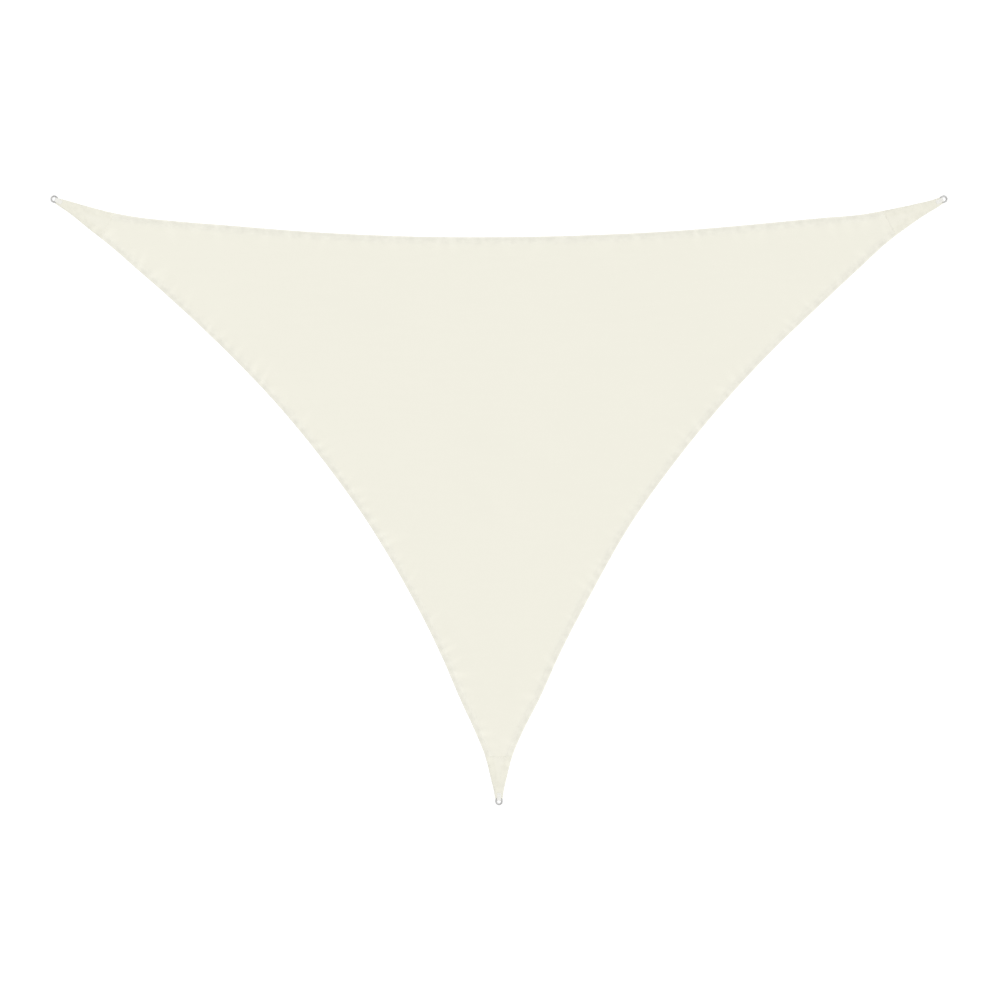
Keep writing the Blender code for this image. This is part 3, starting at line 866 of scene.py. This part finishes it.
STRAP_WIDTH = 28 * MM
STRAP_THICKNESS = 1.6 * MM
STRAP_END_REACH = 58 * MM
STRAP_FLAT_REACH = 28 * MM
FOLD_TURN = math.radians(203)
LOWER_LEG = 0.8 * MM
FOLD_RADIUS = BAR_HEIGHT - LOWER_LEG
UPPER_LEG = 7.8 * MM
STRAP_CORDS, CORD_POINTS = 10, 4
CORD_RELIEF = 0.10 * MM
STRAP_STEP = 5 * MM
CUT_END = 1.5 * MM
CUT_END_SHARE = 0.35
FOLD_STEPS = 18
SELVEDGE_POINTS = 5
BOX_START, BOX_END = 34 * MM, 53 * MM
BOX_HALF_WIDTH = 10.5 * MM
FOLD_SEAM_REACH = STRAP_FLAT_REACH + 2 * MM
FOLD_SEAM_HALF_WIDTH = 11.5 * MM
STRAP_STITCH = 3.6 * MM
OFF_WHITE = (0.785, 0.778, 0.735)
PICK_PITCH = 1.3 * MM
PICK_LEAN = 0.5
PICK_RELIEF, PICK_STRENGTH = 0.25 * MM, 0.6
BETWEEN_PICKS_TONE, PICK_TONE = 0.95, 0.10
STRAP_MOTTLE_SCALE, STRAP_MOTTLE = 120.0, 0.03


def strap_line():
    """The strap's middle line from the end of its lower leg, round the bar, to the end of its upper."""
    line = [Vector((STRAP_END_REACH, LOWER_LEG))]
    legs = round((STRAP_END_REACH - STRAP_FLAT_REACH) / STRAP_STEP)
    full = STRAP_END_REACH - CUT_END
    for k in range(legs + 1):
        line.append(Vector((full - (full - BAR_REACH) * k / legs, LOWER_LEG)))
    for k in range(1, FOLD_STEPS + 1):
        turn = FOLD_TURN * k / FOLD_STEPS
        x = BAR_REACH - FOLD_RADIUS * math.sin(turn)
        line.append(Vector((x, LOWER_LEG + FOLD_RADIUS * (1 - math.cos(turn)))))
    for k in range(legs + 1):
        x = STRAP_FLAT_REACH + (full - STRAP_FLAT_REACH) * k / legs
        line.append(Vector((x, UPPER_LEG)))
    line.append(Vector((STRAP_END_REACH, UPPER_LEG)))
    return line


def ribbed_face():
    """The face of the webbing's outline, side to side, ribbed by its cords."""
    half_width, half_thickness = STRAP_WIDTH / 2, STRAP_THICKNESS / 2
    face = []
    steps = STRAP_CORDS * CORD_POINTS
    flat = half_width - half_thickness
    for k in range(steps + 1):
        across = -flat + 2 * flat * k / steps
        groove = 0.5 + 0.5 * math.cos(2 * math.pi * k / CORD_POINTS)
        face.append((across, half_thickness - CORD_RELIEF * groove))
    return face


def strap_outline():
    """The whole outline: the face, a rounded selvedge, the back and the other selvedge."""
    face = ribbed_face()
    half_thickness = STRAP_THICKNESS / 2
    flat = STRAP_WIDTH / 2 - half_thickness
    outline = list(face)
    for sign, start in ((1, math.pi / 2), (-1, -math.pi / 2)):
        for k in range(1, SELVEDGE_POINTS):
            turn = start - math.pi * k / SELVEDGE_POINTS
            outline.append((sign * flat + half_thickness * math.cos(turn), half_thickness * math.sin(turn)))
        if sign == 1:
            outline += [(across, -height) for across, height in reversed(face)]
    return outline


def strap_mesh(bm):
    """Fills the mesh with the strap, its inward line along X, and gives the strap's length."""
    line = strap_line()
    outline = strap_outline()
    stations = []
    for i, middle in enumerate(line):
        along = (line[min(i + 1, len(line) - 1)] - line[max(i - 1, 0)]).normalized()
        out = Vector((along.y, -along.x))
        thinned = CUT_END_SHARE if i in (0, len(line) - 1) else 1.0
        stations.append(
            [
                (middle.x + out.x * h * thinned, across, middle.y + out.y * h * thinned)
                for across, h in outline
            ]
        )
    swept(bm, stations, closed=False)
    return sum((b - a).length for a, b in zip(line, line[1:]))


def woven_webbing():
    finish = Finish("woven_webbing", roughness=0.7, specular=0.3, sheen=0.15)
    apart = finish.add("SeparateXYZ", {"Vector": finish.place}).outputs
    cords = finish.sum_up("DIVIDE", apart["Y"], STRAP_WIDTH / STRAP_CORDS)
    picks = finish.sum_up("DIVIDE", apart["X"], PICK_PITCH)
    leaning = finish.sum_up("MULTIPLY_ADD", finish.tent(cords), PICK_LEAN, picks)
    weave = finish.tent(leaning)
    tone = finish.sum_up("MULTIPLY_ADD", weave, PICK_TONE, BETWEEN_PICKS_TONE)
    tone = finish.sum_up("MULTIPLY_ADD", finish.cloudy(STRAP_MOTTLE_SCALE), STRAP_MOTTLE, tone)
    finish.feed(finish.shader.inputs["Base Color"], finish.brightened(tone, (*OFF_WHITE, 1.0)))
    finish.feed(finish.shader.inputs["Normal"], finish.relief(weave, PICK_RELIEF, PICK_STRENGTH))
    return finish


WEBBING = woven_webbing()
STRAP_SEAMS = (
    [(BOX_START, -BOX_HALF_WIDTH), (BOX_END, -BOX_HALF_WIDTH)],
    [(BOX_END, -BOX_HALF_WIDTH), (BOX_END, BOX_HALF_WIDTH)],
    [(BOX_END, BOX_HALF_WIDTH), (BOX_START, BOX_HALF_WIDTH)],
    [(BOX_START, BOX_HALF_WIDTH), (BOX_START, -BOX_HALF_WIDTH)],
    [(BOX_START, -BOX_HALF_WIDTH), (BOX_END, BOX_HALF_WIDTH)],
    [(BOX_START, BOX_HALF_WIDTH), (BOX_END, -BOX_HALF_WIDTH)],
    [(FOLD_SEAM_REACH, -FOLD_SEAM_HALF_WIDTH), (FOLD_SEAM_REACH, FOLD_SEAM_HALF_WIDTH)],
)

for corner, ring, patch in zip(CORNERS, rings, patches):
    bm = bmesh.new()
    strap_length = strap_mesh(bm)
    strap = new_piece("strap_webbing_" + corner.name, bm)
    WEBBING.wear_on(strap)
    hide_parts("webbing_" + corner.name)
    bm = bmesh.new()
    strap_top = feel_from_above(strap)
    for seam in STRAP_SEAMS:
        stitch_line(bm, strap_top, [Vector(point) for point in seam], STRAP_STITCH)
    threads = sewn_rows("strap_stitches_" + corner.name, bm)
    strap.matrix_world = threads.matrix_world = corner_place(corner)


# --- The studio ---------------------------------------------------------------------------------------
# A matt white floor that glows a little from within, as a light table does, lies under a soft white
# sky. One wide soft light shines from high on the right, and the camera is straight above the sail.

FLOOR_HALF = 60.0
FLOOR_DROP = 0.05 * MM
FLOOR_WHITE = (0.97, 0.97, 0.97)
FLOOR_MOTTLE_SCALE, FLOOR_MOTTLE = 0.8, 0.004
FRAME_WIDTH = 6.690
LENS, SENSOR = 85.0, 36.0
FARTHEST_SEEN = 300.0
AIM = Vector((0.006, 0.002, 0.0))
FLOOR_GLOW = 0.12
SKY = 0.8125
SUN = 0.328
SUN_SPREAD = math.radians(45)
SUN_FROM = Vector((0.36, 0.02, 1.0))


def white_floor():
    finish = Finish("matt_white_floor", roughness=0.95, specular=0.0)
    tone = finish.sum_up("MULTIPLY_ADD", finish.cloudy(FLOOR_MOTTLE_SCALE), FLOOR_MOTTLE, 1.0)
    finish.feed(finish.shader.inputs["Base Color"], finish.brightened(tone, (*FLOOR_WHITE, 1.0)))
    finish.shader.inputs["Emission Color"].default_value = (1.0, 1.0, 1.0, 1.0)
    finish.shader.inputs["Emission Strength"].default_value = FLOOR_GLOW
    return finish


bm = bmesh.new()
bmesh.ops.create_grid(bm, x_segments=8, y_segments=8, size=FLOOR_HALF)
floor_mesh = bpy.data.meshes.new("floor")
bm.to_mesh(floor_mesh)
bm.free()
floor = bpy.data.objects.new("floor", floor_mesh)
bpy.context.scene.collection.objects.link(floor)
floor.location.z = -FLOOR_DROP
white_floor().wear_on(floor)

world = bpy.data.worlds.new("white_sky")
world.use_nodes = True
world.node_tree.nodes["Background"].inputs["Color"].default_value = (1.0, 1.0, 1.0, 1.0)
world.node_tree.nodes["Background"].inputs["Strength"].default_value = SKY
bpy.context.scene.world = world

sun = bpy.data.lights.new("soft_light", "SUN")
sun.energy = math.pi * SUN
sun.angle = SUN_SPREAD
sun_lamp = bpy.data.objects.new("soft_light", sun)
sun_lamp.rotation_euler = SUN_FROM.to_track_quat("Z", "Y").to_euler()
bpy.context.scene.collection.objects.link(sun_lamp)

camera = bpy.data.cameras.new("camera")
camera.lens = LENS
camera.sensor_width = SENSOR
camera.clip_end = FARTHEST_SEEN
camera_stand = bpy.data.objects.new("camera", camera)
camera_stand.location = AIM + Vector((0.0, 0.0, FRAME_WIDTH * LENS / SENSOR))
bpy.context.scene.collection.objects.link(camera_stand)
bpy.context.scene.camera = camera_stand
bpy.context.scene.view_settings.view_transform = "Standard"
